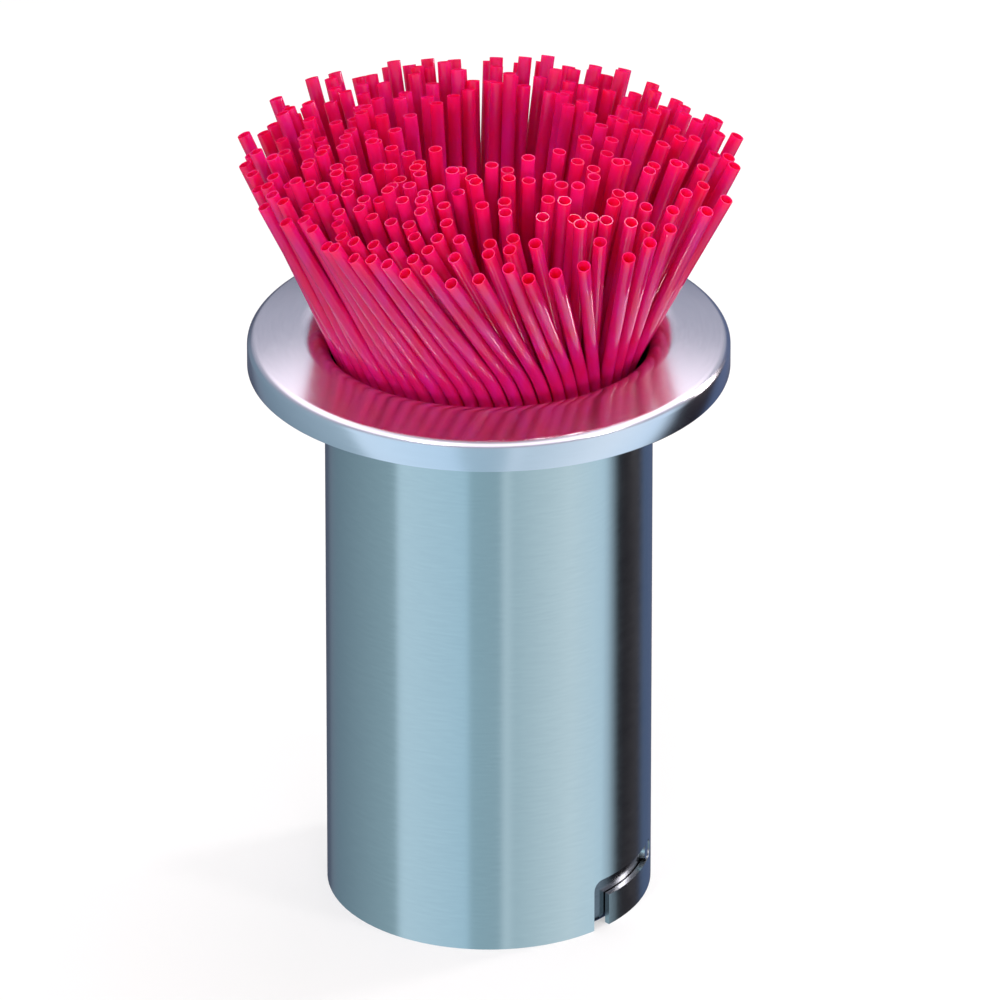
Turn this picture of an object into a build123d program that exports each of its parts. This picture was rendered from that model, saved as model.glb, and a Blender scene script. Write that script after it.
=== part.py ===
from build123d import *
import math
import os
import random
from itertools import islice

import numpy as np

os.makedirs("parts", exist_ok=True)

# Steel tube and rim, in millimetres and degrees. +Z is up and the front looks along +Y.
sheet = 1.5  # thickness of every steel wall
holder_height = 160.0  # from the table to the crest of the rim
tube_diameter = 85.0  # outside
rim_diameter = 125.0
rim_fall = 10.0  # the rim's top drops outwards at this angle
skirt_height = 8.0  # turned-down edge of the rim
throat_radius = 7.0  # rounding from the rim's top into the bore
edge_radius = 2.5  # rounding of the rim's outer edge
collar_height = 3.0  # straight part of the rim below its throat, welded to the tube

# Removable base: a pressed cup inside the tube's foot
base_wall_height = 18.0
base_corner_radius = 3.0
base_clearance = 0.3  # all round, inside the tube

# Bayonet: two slots in the tube, and a riveted pin of the base in each
slot_width = 5.4
slot_level = 11.5  # centre of the slot above the table
entry_azimuth = 44.0  # from the front towards +X: foot of the slot's upright leg
lock_azimuth = 78.0  # where the pins rest
bayonet_count = 2
pin_clearance = 0.2
pin_recess = 0.2  # outer end of a pin below the outside of the tube
pin_head_diameter = 7.0
pin_head_height = 1.0
cut_overrun = 2.0

# Straws: upright in the tube, bent over a wide arc, straight above the rim
straw_length = 210.0
straw_diameter = 3.5
straw_wall = 0.25
straw_gap = 0.16  # least room between two straws
rim_gap = 0.4  # least room between a straw and the steel
rim_room = 0.9  # room of an outermost straw with no lean of its own
seat_gap = 0.3  # lowest straws above the floor of the base
lift_spread = 5.0  # straws caught in the bunch stand up to this much higher
bend_top = 4.0  # where the steepest bends end, above the end of the rim's throat
bend_radius = 28.0  # of the outermost row
well_radius = 11.0  # room left by the straws that were taken out
well_offset = 5.5  # of that room behind the tube's axis
single_straws = 15  # straws round the well that are drawn one at a time

# How the straws lean
outward_lean = 25.0  # of the outermost row
side_lean = 1.5  # of all straws, towards +X
swirl_lean = 33.0  # of the outermost row, to the left, strongest near the front
swirl_azimuth = 15.0
swirl_spread = 50.0
swirl_ease_share = 0.3  # of the outward lean that the swirl takes away
stray_lean = 2.8  # each straw's own lean, at random
stray_tries = 40  # new leans tried for a straw that would touch another
lean_seed = 11
arc_steps = 12  # points along each bend and each top, for measuring gaps
top_steps = 8
rings = ("outer", "middle", "inner")
sectors = 8

# Worked-out sizes
tube_radius = tube_diameter / 2
bore_radius = tube_radius - sheet
rim_radius = rim_diameter / 2
throat_centre_radius = bore_radius + throat_radius
throat_level = holder_height - throat_radius
weld_level = throat_level - collar_height
fall = math.radians(rim_fall)
base_radius = bore_radius - base_clearance
base_inner_radius = base_radius - sheet
pin_diameter = slot_width - 2 * pin_clearance
straw_radius = straw_diameter / 2
pitch = straw_diameter + straw_gap
outward_slope = math.tan(math.radians(outward_lean))
swirl_slope = math.tan(math.radians(swirl_lean))
front_lean = math.atan(math.hypot(outward_slope * (1 - swirl_ease_share), swirl_slope))
side_bend = math.radians(outward_lean)
bend_level = throat_level + bend_top - bend_radius * math.sin(max(front_lean, side_bend))
past_bend = throat_level - bend_level - bend_radius * math.sin(side_bend)
throat_shift = bend_radius * (1 - math.cos(side_bend)) + past_bend * outward_slope
outer_row = bore_radius - rim_room - straw_radius / math.cos(side_bend) - throat_shift


def rim_top(radius):
    """Height of the sloping top of the rim, carried on to any radius."""
    run = radius - throat_centre_radius - throat_radius * math.sin(fall)
    return throat_level + throat_radius * math.cos(fall) - run * math.tan(fall)


skirt_level = rim_top(rim_radius) - skirt_height


def spun(profile_edges):
    """A round piece from the closed outline of one half of its section."""
    return revolve(make_face(profile_edges), Axis.Z)


def rim():
    """Spun ring: collar, rounded throat, sloping top, rounded edge and skirt."""
    drop = sheet / math.cos(fall)
    inside = bore_radius + sheet
    outside = rim_radius - sheet
    top = FilletPolyline(
        (bore_radius, 0, weld_level),
        (bore_radius, 0, rim_top(bore_radius)),
        (rim_radius, 0, rim_top(rim_radius)),
        (rim_radius, 0, skirt_level),
        radius=[throat_radius, edge_radius],
    )
    under = FilletPolyline(
        (outside, 0, skirt_level),
        (outside, 0, rim_top(outside) - drop),
        (inside, 0, rim_top(inside) - drop),
        (inside, 0, weld_level),
        radius=[edge_radius - sheet, throat_radius - sheet],
    )
    return spun([top, Line(top @ 1, under @ 0), under, Line(under @ 1, top @ 0)])


def ring_between(inner, outer, low, high):
    """Plain ring standing on its end."""
    level = Pos(0, 0, low)
    seat = (Align.CENTER, Align.CENTER, Align.MIN)
    solid = Cylinder(outer, high - low, align=seat) - Cylinder(inner, high - low, align=seat)
    return level * solid


def radial_rod(diameter, start, end):
    """Rod across the wall at the front of the tube, at the slot's level."""
    rod = Cylinder(diameter / 2, end - start, rotation=(90, 0, 0))
    return Pos(0, -(start + end) / 2, slot_level) * rod


def bayonet_slot():
    """Cutter for one slot: an upright leg from the foot, then a level run to the lock."""
    inner = bore_radius - cut_overrun
    outer = tube_radius + cut_overrun
    section = Plane.YZ * Pos(-(inner + outer) / 2, slot_level) * Rectangle(outer - inner, slot_width)
    run = lock_azimuth - entry_azimuth
    level_run = revolve(section, Axis.Z, revolution_arc=run)
    end = radial_rod(slot_width, inner, outer)
    leg_height = slot_level + cut_overrun
    leg = Pos(0, -(inner + outer) / 2, slot_level - leg_height / 2) * Box(slot_width, outer - inner, leg_height)
    return Rot(0, 0, entry_azimuth) * (level_run + end + Rot(0, 0, run) * end + leg)


def round_bayonets(shape):
    """The shape at each bayonet, spaced evenly round the axis."""
    return [Rot(0, 0, 360 * turn / bayonet_count) * shape for turn in range(bayonet_count)]


def tube():
    """Body tube with its bayonet slots."""
    wall = ring_between(bore_radius, tube_radius, 0, weld_level)
    for slot in round_bayonets(bayonet_slot()):
        wall -= slot
    return wall


def base():
    """Pressed cup that closes the tube, with a hole for each pin."""
    outside = FilletPolyline(
        (0, 0, 0),
        (base_radius, 0, 0),
        (base_radius, 0, base_wall_height),
        radius=base_corner_radius,
    )
    inside = FilletPolyline(
        (base_inner_radius, 0, base_wall_height),
        (base_inner_radius, 0, sheet),
        (0, 0, sheet),
        radius=base_corner_radius - sheet,
    )
    cup = spun([outside, Line(outside @ 1, inside @ 0), inside, Line(inside @ 1, outside @ 0)])
    hole = radial_rod(pin_diameter, base_inner_radius - cut_overrun, base_radius + cut_overrun)
    for opening in round_bayonets(Rot(0, 0, lock_azimuth) * hole):
        cup -= opening
    return cup


def pin():
    """Rivet through the wall of the base, its head inside and its shank in the slot."""
    tip_radius = tube_radius - pin_recess
    shank = radial_rod(pin_diameter, base_inner_radius - pin_head_height, tube_radius)
    shank &= Cylinder(tip_radius, holder_height)
    head = radial_rod(pin_head_diameter, base_inner_radius - pin_head_height, base_radius)
    head &= Cylinder(base_inner_radius, holder_height)
    return Rot(0, 0, lock_azimuth) * (shank + head)


def lean_at(x, y, stray):
    """Slope of a straw's top, along X and Y, for a straw that stands at x, y."""
    reach = math.hypot(x, y) / outer_row
    azimuth = math.atan2(x, -y)
    off_swirl = (math.degrees(azimuth) - swirl_azimuth) / swirl_spread
    swirl = math.exp(-(off_swirl**2) / 2)
    outward = outward_slope * reach * (1 - swirl_ease_share * swirl)
    left = swirl_slope * reach**2 * swirl
    slope_x = outward * math.sin(azimuth) - left * math.cos(azimuth)
    slope_y = -outward * math.cos(azimuth) - left * math.sin(azimuth)
    slope_x += math.tan(math.radians(side_lean))
    own = math.tan(math.radians(stray_lean))
    return slope_x + own * stray.uniform(-1, 1), slope_y + own * stray.uniform(-1, 1)


class Straw:
    """One straw: where it stands, which way its top leans and the line it follows."""

    def __init__(self, x, y, foot, slope):
        self.x, self.y, self.foot = x, y, foot
        self.heading = math.atan2(slope[1], slope[0])
        self.lean = math.atan(math.hypot(*slope))
        ahead = x * math.cos(self.heading) + y * math.sin(self.heading)
        self.radius = bend_radius + outer_row - ahead
        self.top = straw_length - (bend_level - foot) - self.radius * self.lean

    def run_and_rise(self, turn, top):
        """Place on the line after a turn of the bend and a stretch of the straight top."""
        run = self.radius * (1 - math.cos(turn)) + top * math.sin(turn)
        rise = self.radius * math.sin(turn) + top * math.cos(turn)
        return run, bend_level + rise

    def points(self):
        """Points along the straw's axis, from foot to tip."""
        bend = [self.run_and_rise(self.lean * k / arc_steps, 0) for k in range(arc_steps + 1)]
        top = [self.run_and_rise(self.lean, self.top * k / top_steps) for k in range(1, top_steps + 1)]
        line = np.array([(0, self.foot)] + bend + top)
        across = (self.x + line[:, 0] * math.cos(self.heading), self.y + line[:, 0] * math.sin(self.heading))
        return np.stack((*across, line[:, 1]), axis=1)

    def solid(self):
        """Thin tube along the straw's axis."""
        corner = bend_level + self.radius * math.tan(self.lean / 2)
        run, rise = self.run_and_rise(self.lean, self.top)
        axis = FilletPolyline((0, 0, self.foot), (0, 0, corner), (run, 0, rise), radius=self.radius)
        section = Pos(0, 0, self.foot) * (Circle(straw_radius) - Circle(straw_radius - straw_wall))
        turned = Rot(0, 0, math.degrees(self.heading)) * sweep(section, path=axis)
        return Pos(self.x, self.y, 0) * turned


def gap_to_lines(points, lines):
    """Least distance from the points of one axis to the axes in lines."""
    start, step = lines[:, :-1, None, :], np.diff(lines, axis=1)[:, :, None, :]
    along = ((points - start) * step).sum(-1) / (step**2).sum(-1)
    nearest = start + np.clip(along, 0, 1)[..., None] * step
    return np.sqrt(((points - nearest) ** 2).sum(-1)).min()


def clears_rim(points):
    """Whether a straw on these points stays off the bore and the rounded throat."""
    radius, level = np.hypot(points[:, 0], points[:, 1]), points[:, 2]
    in_bore = level < throat_level
    past_throat = np.hypot(radius - throat_centre_radius, level - throat_level)
    room = np.where(in_bore, bore_radius - radius, past_throat - throat_radius)
    return room.min() > straw_radius + rim_gap


def clears_straws(points, lines):
    """Whether a straw on these points stays off the straws on the other lines."""
    if not len(lines):
        return True
    gap = min(gap_to_lines(points, lines), gap_to_lines(lines.reshape(-1, 3), points[None]))
    return gap > straw_diameter + straw_gap / 2


def bunch():
    """Straws in rows from the wall inwards, each with the first lean that touches nothing."""
    stray = random.Random(lean_seed)
    straws, lines = [], []
    row = outer_row
    while row > pitch:
        places = int(2 * math.pi * row / pitch)
        first = stray.random()
        for place in range(places):
            azimuth = 2 * math.pi * (place + first) / places
            x, y = row * math.sin(azimuth), -row * math.cos(azimuth)
            foot = sheet + seat_gap + lift_spread * stray.random() ** 2
            if math.hypot(x, y - well_offset) < well_radius + straw_radius:
                continue
            for _ in range(stray_tries):
                straw = Straw(x, y, foot, lean_at(x, y, stray))
                points = straw.points()
                if clears_rim(points) and clears_straws(points, np.array(lines)):
                    straws.append(straw)
                    lines.append(points)
                    break
        row -= pitch
    return straws, np.array(lines)


def drawn_freely(index, lines):
    """Whether a straw that is drawn straight up stays off the others all the way."""
    others = np.delete(lines, index, axis=0)
    lifts = np.arange(0, straw_length, straw_diameter)
    foot, bend = lines[index][0], lines[index][1]
    stem = foot + (bend - foot) * np.linspace(0, 1, arc_steps)[:, None]
    line = np.concatenate((stem, lines[index]))
    gap = min(gap_to_lines(line + (0, 0, lift), others) for lift in lifts)
    return gap > straw_diameter + straw_gap / 2


export_step(tube(), "parts/tube_shell.step")
export_step(rim(), "parts/rim_flange.step")
export_step(base(), "parts/base_cup.step")
for side, rivet in zip(("right", "left"), round_bayonets(pin())):
    export_step(rivet, f"parts/bayonet_pin_{side}.step")

straws, lines = bunch()
gaps = [gap_to_lines(lines[k], np.delete(lines, k, axis=0)) - straw_diameter for k in range(len(lines))]
print(len(straws), "straws, least gap", round(min(gaps), 3))
by_well = sorted(range(len(straws)), key=lambda k: math.hypot(straws[k].x, straws[k].y - well_offset))
singles = list(islice((k for k in by_well if drawn_freely(k, lines)), single_straws))
for number, k in enumerate(singles, start=1):
    export_step(straws[k].solid(), f"parts/straw_{number:02d}.step")

groups = {}
inner_row = min(math.hypot(s.x, s.y) for s in straws)
for k, straw in enumerate(straws):
    if k in singles:
        continue
    depth = (outer_row - math.hypot(straw.x, straw.y)) / (outer_row - inner_row)
    ring = rings[min(int(depth * len(rings)), len(rings) - 1)]
    turn = (math.atan2(straw.x, -straw.y) / (2 * math.pi)) % 1
    sector = int(turn * sectors) % sectors + 1
    groups.setdefault(f"straws_{ring}_{sector}", []).append(straw.solid())
for name, members in groups.items():
    export_step(Compound(children=members), f"parts/{name}.step")
print(len(singles), "straws drawn singly,", len(groups), "groups")
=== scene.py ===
import math

import bpy
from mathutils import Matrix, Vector


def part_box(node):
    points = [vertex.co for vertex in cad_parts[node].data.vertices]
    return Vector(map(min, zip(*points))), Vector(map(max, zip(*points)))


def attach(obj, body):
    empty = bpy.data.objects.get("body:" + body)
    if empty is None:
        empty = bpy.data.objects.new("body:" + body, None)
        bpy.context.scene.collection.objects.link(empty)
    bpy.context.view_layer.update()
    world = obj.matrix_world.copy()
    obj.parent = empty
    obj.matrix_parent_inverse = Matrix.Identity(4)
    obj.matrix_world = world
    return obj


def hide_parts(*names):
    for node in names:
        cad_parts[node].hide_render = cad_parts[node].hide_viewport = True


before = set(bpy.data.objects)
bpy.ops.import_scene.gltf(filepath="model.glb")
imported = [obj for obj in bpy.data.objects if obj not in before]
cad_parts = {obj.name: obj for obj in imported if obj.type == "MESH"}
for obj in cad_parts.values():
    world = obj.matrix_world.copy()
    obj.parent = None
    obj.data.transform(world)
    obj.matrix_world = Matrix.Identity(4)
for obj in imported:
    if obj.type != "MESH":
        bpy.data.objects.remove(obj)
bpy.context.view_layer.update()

bpy.ops.object.select_all(action="DESELECT")
print("frame loaded,", len(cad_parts), "nodes")

# Camera at the photograph's viewing angle
view = {
    "elevation": 27.0,  # degrees above the table
    "distance": 4.0,
    "pictureWidth": 0.2597,  # metres across the picture, at the object
    "target": (0.0029, 0.0, 0.1098),
    "sensor": 36.0,
    "clipEnd": 100.0,
}


def placeCamera():
    tilt = math.radians(view["elevation"])
    back = Vector((0, -math.cos(tilt), math.sin(tilt)))
    place = Vector(view["target"]) + back * view["distance"]
    bpy.ops.object.camera_add(location=place, rotation=(math.pi / 2 - tilt, 0, 0))
    camera = bpy.context.object
    camera.name = "photoCamera"
    camera.data.sensor_width = view["sensor"]
    camera.data.lens = view["sensor"] * view["distance"] / view["pictureWidth"]
    camera.data.clip_end = view["clipEnd"]
    bpy.context.scene.camera = camera


placeCamera()
print("camera placed")


# Short ways to write shader nodes
def addNode(tree, kind, **settings):
    node = tree.nodes.new(kind)
    for name, value in settings.items():
        setattr(node, name, value)
    return node


def plug(tree, source, node, socket):
    output = source if isinstance(source, bpy.types.NodeSocket) else source.outputs[0]
    tree.links.new(output, node.inputs[socket])


def mathNode(tree, operation, first, second=None):
    node = addNode(tree, "ShaderNodeMath", operation=operation)
    for index, value in enumerate((first, second)):
        if isinstance(value, (int, float)):
            node.inputs[index].default_value = value
        elif value is not None:
            plug(tree, value, node, index)
    return node


def newMaterial(name):
    material = bpy.data.materials.new(name)
    material.use_nodes = True
    tree = material.node_tree
    return material, tree, tree.nodes["Principled BSDF"]


def stretchedNoise(tree, vector, scale, detail=3.0, roughness=0.5):
    # noise on object coordinates, scaled by a different amount along each axis
    mapping = addNode(tree, "ShaderNodeMapping")
    mapping.inputs["Scale"].default_value = scale
    plug(tree, vector, mapping, "Vector")
    noise = addNode(tree, "ShaderNodeTexNoise")
    noise.inputs["Scale"].default_value = 1.0
    noise.inputs["Detail"].default_value = detail
    noise.inputs["Roughness"].default_value = roughness
    plug(tree, mapping, noise, "Vector")
    return noise.outputs["Fac"]


def remap(tree, value, low, high):
    node = addNode(tree, "ShaderNodeMapRange")
    node.inputs["To Min"].default_value = low
    node.inputs["To Max"].default_value = high
    plug(tree, value, node, "Value")
    return node.outputs["Result"]


# Brushed stainless steel, its grain running round the axis
tubeFinish = {
    "colour": (0.62, 0.64, 0.65),
    "darkColour": (0.53, 0.55, 0.57),
    "smooth": 0.13,  # roughness in the bright lines of the grain
    "rough": 0.24,
    "anisotropy": 0.80,
    "grainRound": 9.0,  # grain across a turn
    "grainFine": 1900.0,  # grain lines per metre, along the axis and outwards
    "patch": (40, 40, 25),  # broad cloudy patches per metre
    "patchShare": 0.35,
    "toneRange": (0.2, 1.2),  # from darkColour to colour
    "bump": 0.06,
    "bumpDepth": 0.0001,
}
# Base cup: steel painted far darker than the tube, a painted shade, so that its wall seen through the slots
# looks black
baseFinishPaintedShade = dict(tubeFinish, colour=(0.20, 0.20, 0.22), darkColour=(0.07, 0.07, 0.08))
# Rim: steel painted lilac and brighter than the tube, a painted pink reflection of the straws and a painted
# sheen along the rim
rimFinishPaintedSheen = dict(tubeFinish, colour=(0.86, 0.80, 0.87), darkColour=(0.78, 0.72, 0.79))
rimFinishPaintedSheen.update(smooth=0.16, rough=0.26, anisotropy=0.35, bump=0.02)


def roundGrain(tree):
    # direction from the axis, height and radius, so that grain lines close round the tube
    coordinates = addNode(tree, "ShaderNodeTexCoord")
    split = addNode(tree, "ShaderNodeSeparateXYZ")
    plug(tree, coordinates.outputs["Object"], split, 0)
    x, y, z = split.outputs
    radius = mathNode(tree, "SQRT", mathNode(tree, "ADD", mathNode(tree, "MULTIPLY", x, x),
                                             mathNode(tree, "MULTIPLY", y, y)))
    safeRadius = mathNode(tree, "MAXIMUM", radius, 0.0001)
    joined = addNode(tree, "ShaderNodeCombineXYZ")
    plug(tree, mathNode(tree, "DIVIDE", x, safeRadius), joined, 0)
    plug(tree, mathNode(tree, "DIVIDE", y, safeRadius), joined, 1)
    plug(tree, mathNode(tree, "ADD", z, radius), joined, 2)
    return joined, coordinates.outputs["Object"]


def brushedSteel(name, finish):
    material, tree, shader = newMaterial(name)
    grainVector, objectVector = roundGrain(tree)
    fine = stretchedNoise(tree, grainVector, (finish["grainRound"],) * 2 + (finish["grainFine"],), 2.0)
    broad = stretchedNoise(tree, objectVector, finish["patch"], 4.0)
    mixed = addNode(tree, "ShaderNodeMix", data_type="FLOAT")
    mixed.inputs["Factor"].default_value = finish["patchShare"]
    plug(tree, fine, mixed, "A")
    plug(tree, broad, mixed, "B")
    grain = mixed.outputs["Result"]
    colours = addNode(tree, "ShaderNodeMix", data_type="RGBA")
    colours.inputs["A"].default_value = finish["darkColour"] + (1,)
    colours.inputs["B"].default_value = finish["colour"] + (1,)
    plug(tree, remap(tree, grain, *finish["toneRange"]), colours, "Factor")
    plug(tree, colours.outputs["Result"], shader, "Base Color")
    shader.inputs["Metallic"].default_value = 1.0
    plug(tree, remap(tree, grain, finish["smooth"], finish["rough"]), shader, "Roughness")
    shader.inputs["Anisotropic"].default_value = finish["anisotropy"]
    shader.inputs["Anisotropic Rotation"].default_value = 0.25  # highlights stretch along the axis
    tangent = addNode(tree, "ShaderNodeTangent", direction_type="RADIAL", axis="Z")
    plug(tree, tangent, shader, "Tangent")
    bump = addNode(tree, "ShaderNodeBump")
    bump.inputs["Strength"].default_value = finish["bump"]
    bump.inputs["Distance"].default_value = finish["bumpDepth"]
    plug(tree, fine, bump, "Height")
    plug(tree, bump, shader, "Normal")
    return material


# Glossy pink plastic of the straws, with faint lines drawn along them
strawFinish = {
    "colour": (0.88, 0.008, 0.19),
    "deepColour": (0.86, 0.004, 0.075),
    "smooth": 0.05,
    "rough": 0.10,
    "lineAcross": 1600.0,
    "lineAlong": 18.0,
    "patch": (190, 190, 12),  # slow change of colour from straw to straw
    "patchRange": (-0.4, 1.4),
    "ior": 1.5,
    "specular": 0.4,
    "scatter": 0.75,
    "scatterColour": (1.0, 0.04, 0.14),
    "scatterDepth": 0.003,
    "bump": 0.04,
    "bumpDepth": 0.00005,
}


def strawPlastic(name, finish):
    material, tree, shader = newMaterial(name)
    coordinates = addNode(tree, "ShaderNodeTexCoord").outputs["Object"]
    lines = stretchedNoise(tree, coordinates, (finish["lineAcross"],) * 2 + (finish["lineAlong"],), 2.0)
    patches = stretchedNoise(tree, coordinates, finish["patch"], 1.0)
    colours = addNode(tree, "ShaderNodeMix", data_type="RGBA")
    colours.inputs["A"].default_value = finish["deepColour"] + (1,)
    colours.inputs["B"].default_value = finish["colour"] + (1,)
    plug(tree, remap(tree, patches, *finish["patchRange"]), colours, "Factor")
    plug(tree, colours.outputs["Result"], shader, "Base Color")
    plug(tree, remap(tree, lines, finish["smooth"], finish["rough"]), shader, "Roughness")
    shader.inputs["IOR"].default_value = finish["ior"]
    shader.inputs["Specular IOR Level"].default_value = finish["specular"]
    shader.inputs["Subsurface Weight"].default_value = finish["scatter"]
    shader.inputs["Subsurface Radius"].default_value = finish["scatterColour"]
    shader.inputs["Subsurface Scale"].default_value = finish["scatterDepth"]
    bump = addNode(tree, "ShaderNodeBump")
    bump.inputs["Strength"].default_value = finish["bump"]
    bump.inputs["Distance"].default_value = finish["bumpDepth"]
    plug(tree, lines, bump, "Height")
    plug(tree, bump, shader, "Normal")
    return material


def dress(names, material):
    for name in names:
        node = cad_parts[name]
        node.data.materials.clear()
        node.data.materials.append(material)


tubeSteel = brushedSteel("tubeSteel", tubeFinish)
baseSteelPaintedShade = brushedSteel("baseSteelPaintedShade", baseFinishPaintedShade)
rimSteelPaintedSheen = brushedSteel("rimSteelPaintedSheen", rimFinishPaintedSheen)
dress(["tube_shell", "bayonet_pin_right", "bayonet_pin_left"], tubeSteel)
dress(["base_cup"], baseSteelPaintedShade)
dress(["rim_flange"], rimSteelPaintedSheen)
dress([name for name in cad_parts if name.startswith("straw")], strawPlastic("pinkStraw", strawFinish))
print("materials made")

# Rim: one sheet, spun from the throat over the flange to the turned-down skirt
rim = {
    "sheet": 0.0015,
    "throatRadius": 0.007,
    "edgeRadius": 0.0025,
    "fall": 10.0,  # degrees that the flange drops outwards
    "throatSteps": 24,
    "edgeSteps": 12,
    "turnSteps": 256,
    "lipBevel": 0.0003,
    "lipSegments": 2,
    "lipAngle": 60.0,  # edges sharper than this are rounded
    "smoothAngle": 40.0,
}


def arcPoints(centre, radius, start, end, steps):
    angles = [math.radians(start + (end - start) * step / steps) for step in range(steps + 1)]
    return [(centre[0] + radius * math.cos(a), centre[1] + radius * math.sin(a)) for a in angles]


def rimProfile():
    low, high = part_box("rim_flange")
    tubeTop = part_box("tube_shell")[1]
    outer, sheet, bend, edge = high.x, rim["sheet"], rim["throatRadius"], rim["edgeRadius"]
    fall = math.radians(rim["fall"])
    slope = 90 - rim["fall"]
    throat = (tubeTop.x - sheet + bend, high.z - bend)
    drop = (outer - edge - throat[0] - bend * math.sin(fall)) * math.tan(fall)
    corner = (outer - edge, throat[1] + bend * math.cos(fall) - drop - edge / math.cos(fall))
    points = [(tubeTop.x - sheet, tubeTop.z)]
    points += arcPoints(throat, bend, 180, slope, rim["throatSteps"])
    points += arcPoints(corner, edge, slope, 0, rim["edgeSteps"])
    points += [(outer, low.z), (outer - sheet, low.z)]
    points += arcPoints(corner, edge - sheet, 0, slope, rim["edgeSteps"])
    points += arcPoints(throat, bend - sheet, slope, 180, rim["throatSteps"])
    return points + [(tubeTop.x, tubeTop.z)]


def drawLine(points):
    # one vertex, extruded from point to point in the XZ plane
    bpy.ops.object.select_all(action="DESELECT")
    bpy.ops.mesh.primitive_plane_add(size=0.001)
    bpy.ops.object.mode_set(mode="EDIT")
    bpy.ops.mesh.select_all(action="SELECT")
    bpy.ops.mesh.merge(type="CENTER")
    here = Vector((points[0][0], 0, points[0][1]))
    bpy.ops.transform.translate(value=here)
    for r, z in points[1:]:
        there = Vector((r, 0, z))
        bpy.ops.mesh.extrude_region_move(TRANSFORM_OT_translate={"value": there - here})
        here = there


def spinRound(steps):
    bpy.ops.mesh.select_all(action="SELECT")
    bpy.ops.mesh.spin(steps=steps, angle=2 * math.pi, center=(0, 0, 0), axis=(0, 0, 1))
    bpy.ops.mesh.select_all(action="SELECT")
    bpy.ops.mesh.remove_doubles(threshold=0.000002)
    bpy.ops.mesh.select_all(action="SELECT")
    bpy.ops.mesh.normals_make_consistent(inside=False)
    bpy.ops.object.mode_set(mode="OBJECT")


def roundEdges(piece, width, segments, degrees):
    bevel = piece.modifiers.new("edges", "BEVEL")
    bevel.width = width
    bevel.segments = segments
    bevel.limit_method = "ANGLE"
    bevel.angle_limit = math.radians(degrees)
    bpy.ops.object.modifier_apply(modifier=bevel.name)


def makeRim():
    points = rimProfile()
    drawLine(points + points[:1])
    spinRound(rim["turnSteps"])
    piece = bpy.context.object
    piece.name = "spunRim"
    roundEdges(piece, rim["lipBevel"], rim["lipSegments"], rim["lipAngle"])
    bpy.ops.object.shade_smooth_by_angle(angle=math.radians(rim["smoothAngle"]))
    piece.data.materials.append(rimSteelPaintedSheen)
    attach(piece, "holder")
    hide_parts("rim_flange")
    print("rim spun,", len(piece.data.polygons), "faces")


makeRim()

# Pale table, and what the steel mirrors: a studio with cards of several tones round the holder
stage = {
    "tableSize": 8.0,
    "tableColour": (0.50, 0.50, 0.50),
    "tableRoughness": 0.9,
    "tableGlow": 0.44,  # seen by the camera only
    "ambient": (0.80, 0.75, 0.73),
    "wallMirrored": (0.40, 0.44, 0.52),
    "wallSpan": (0.12, 0.32),  # heights over which the cards give way to the wall
    "ceilingMirrored": (1.45, 1.40, 1.50),
    "ceilingSpan": (0.45, 0.62),
    "zenithMirrored": (0.42, 0.40, 0.46),
    "zenithSpan": (0.84, 0.97),
}
# angle from the front, towards +X, and tone of each card
cards = [
    (-180, (0.10, 0.12, 0.17)),
    (-158, (0.08, 0.10, 0.15)),
    (-148, (0.18, 0.24, 0.31)),
    (-136, (0.18, 0.28, 0.35)),
    (-70, (0.34, 0.52, 0.60)),
    (-66, (0.66, 0.92, 1.06)),
    (-16, (0.52, 0.80, 0.96)),
    (-12, (0.36, 0.58, 0.68)),
    (7, (0.36, 0.56, 0.65)),
    (12, (0.64, 0.86, 0.96)),
    (18, (0.50, 0.71, 0.80)),
    (60, (0.74, 0.95, 1.04)),
    (90, (0.64, 0.90, 1.06)),
    (104, (0.012, 0.011, 0.016)),
    (132, (0.012, 0.011, 0.018)),
    (142, (0.07, 0.12, 0.23)),
    (160, (0.09, 0.13, 0.24)),
    (180, (0.10, 0.12, 0.17)),
]


def cardTones(tree, vector):
    split = addNode(tree, "ShaderNodeSeparateXYZ")
    plug(tree, vector, split, 0)
    x, y, z = split.outputs
    angle = mathNode(tree, "ARCTAN2", x, mathNode(tree, "MULTIPLY", y, -1.0))
    turn = mathNode(tree, "ADD", mathNode(tree, "DIVIDE", angle, 2 * math.pi), 0.5)
    ramp = addNode(tree, "ShaderNodeValToRGB")
    stops = ramp.color_ramp.elements
    for index, (degrees, tone) in enumerate(cards):
        place = degrees / 360 + 0.5
        stop = stops[index] if index < 2 else stops.new(place)
        stop.position = place
        stop.color = tone + (1,)
    plug(tree, turn, ramp, "Fac")
    return ramp.outputs["Color"], z


def makeTable():
    bpy.ops.mesh.primitive_plane_add(size=stage["tableSize"])
    table = bpy.context.object
    table.name = "table"
    material, tree, shader = newMaterial("paleTable")
    shader.inputs["Base Color"].default_value = stage["tableColour"] + (1,)
    shader.inputs["Roughness"].default_value = stage["tableRoughness"]
    shader.inputs["Specular IOR Level"].default_value = 0.0
    shader.inputs["Emission Color"].default_value = (1, 1, 1, 1)
    seen = addNode(tree, "ShaderNodeLightPath").outputs["Is Camera Ray"]
    plug(tree, mathNode(tree, "MULTIPLY", seen, stage["tableGlow"]), shader, "Emission Strength")
    table.data.materials.append(material)
    table.visible_glossy = False  # the steel mirrors the cards of the studio, far off, instead


def heightMix(tree, height, span, below, aboveColour):
    # from what lies below the span of heights to a plain colour above it
    mix = addNode(tree, "ShaderNodeMix", data_type="RGBA")
    mix.inputs["B"].default_value = aboveColour + (1,)
    plug(tree, below, mix, "A")
    above = addNode(tree, "ShaderNodeMapRange")
    above.inputs["From Min"].default_value, above.inputs["From Max"].default_value = span
    plug(tree, height, above, "Value")
    plug(tree, above, mix, "Factor")
    return mix.outputs["Result"]


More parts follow.
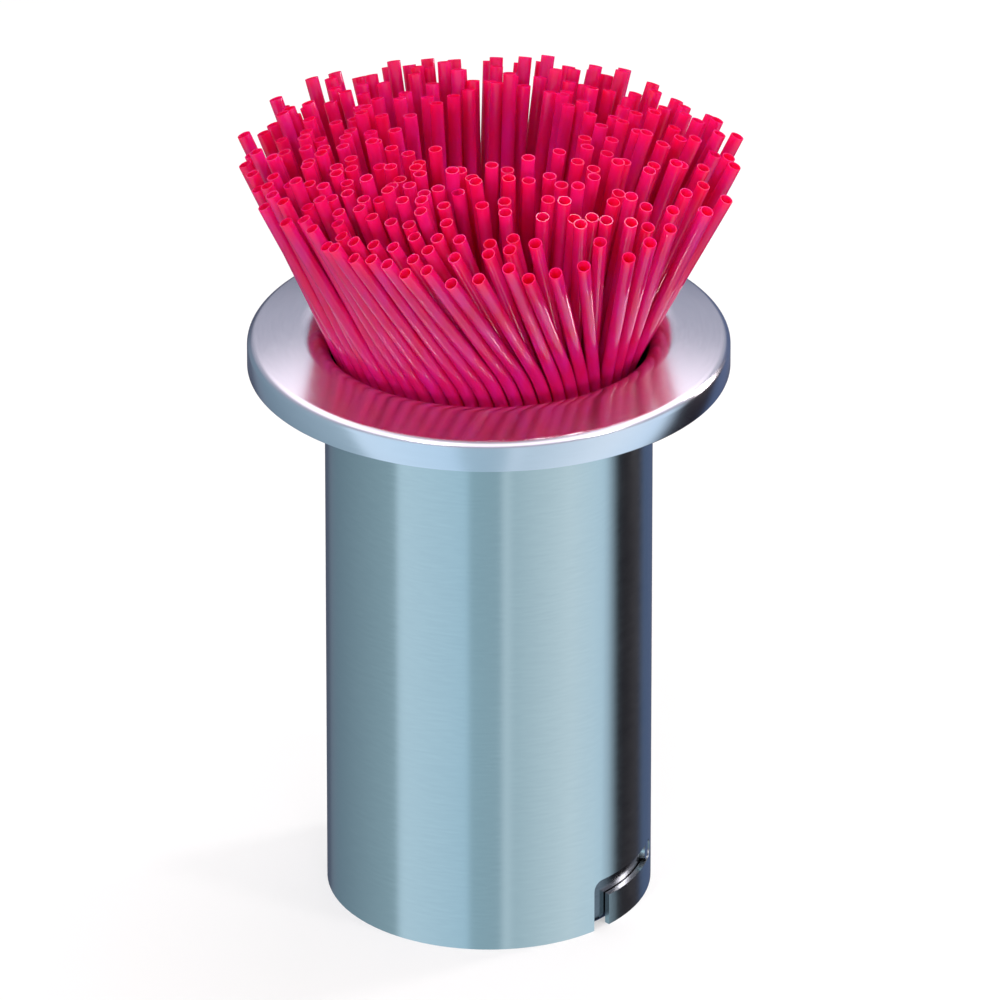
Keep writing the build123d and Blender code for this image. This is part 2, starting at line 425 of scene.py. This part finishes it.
def makeWorld():
    world = bpy.data.worlds.new("studio")
    bpy.context.scene.world = world
    world.use_nodes = True
    tree = world.node_tree
    background = tree.nodes["Background"]
    direction = addNode(tree, "ShaderNodeTexCoord").outputs["Generated"]
    tones, height = cardTones(tree, direction)
    mirrored = tones
    for part in ("wall", "ceiling", "zenith"):
        mirrored = heightMix(tree, height, stage[part + "Span"], mirrored, stage[part + "Mirrored"])
    rays = addNode(tree, "ShaderNodeLightPath")
    glossy = addNode(tree, "ShaderNodeMix", data_type="RGBA")
    glossy.inputs["A"].default_value = stage["ambient"] + (1,)
    plug(tree, rays.outputs["Is Glossy Ray"], glossy, "Factor")
    plug(tree, mirrored, glossy, "B")
    final = addNode(tree, "ShaderNodeMix", data_type="RGBA")
    final.inputs["B"].default_value = (1, 1, 1, 1)
    plug(tree, rays.outputs["Is Camera Ray"], final, "Factor")
    plug(tree, glossy.outputs["Result"], final, "A")
    plug(tree, final.outputs["Result"], background, "Color")


# Soft boxes: place, width and height in metres, power in watts, tint
lampAim = (0, 0, 0.16)
lamps = {
    "keyBox": {"place": (-0.55, -0.95, 1.10), "size": (0.24, 0.30), "power": 5.0, "tint": (0.92, 0.94, 1.0)},
    "fillBox": {"place": (0.95, -0.62, 0.95), "size": (0.2, 0.4), "power": 3.0, "tint": (1.0, 0.97, 0.95)},
    "sideBox": {"place": (1.25, 0.62, 0.45), "size": (0.22, 0.9), "power": 10.0, "tint": (1.0, 0.95, 0.94)},
    "frontBox": {"place": (0.15, -1.60, 0.34), "size": (0.9, 0.3), "power": 9.0, "tint": (1.0, 0.92, 1.0)},
    "topBox": {"place": (0.10, 0.45, 1.35), "size": (0.5, 0.4), "power": 3.5, "tint": (0.94, 0.96, 1.0)},
}


def makeLamps():
    aim = Vector(lampAim)
    for name, lamp in lamps.items():
        bpy.ops.object.light_add(type="AREA", location=lamp["place"])
        light = bpy.context.object
        light.name = name
        light.rotation_euler = (aim - light.location).to_track_quat("-Z", "Y").to_euler()
        light.data.shape = "RECTANGLE"
        light.data.size, light.data.size_y = lamp["size"]
        light.data.energy = lamp["power"]
        light.data.color = lamp["tint"]
        light.visible_glossy = name != "frontBox"  # the front light leaves no glare on the straws


makeTable()
makeWorld()
makeLamps()
bpy.context.scene.view_settings.view_transform = "Standard"
print("stage and lights set")
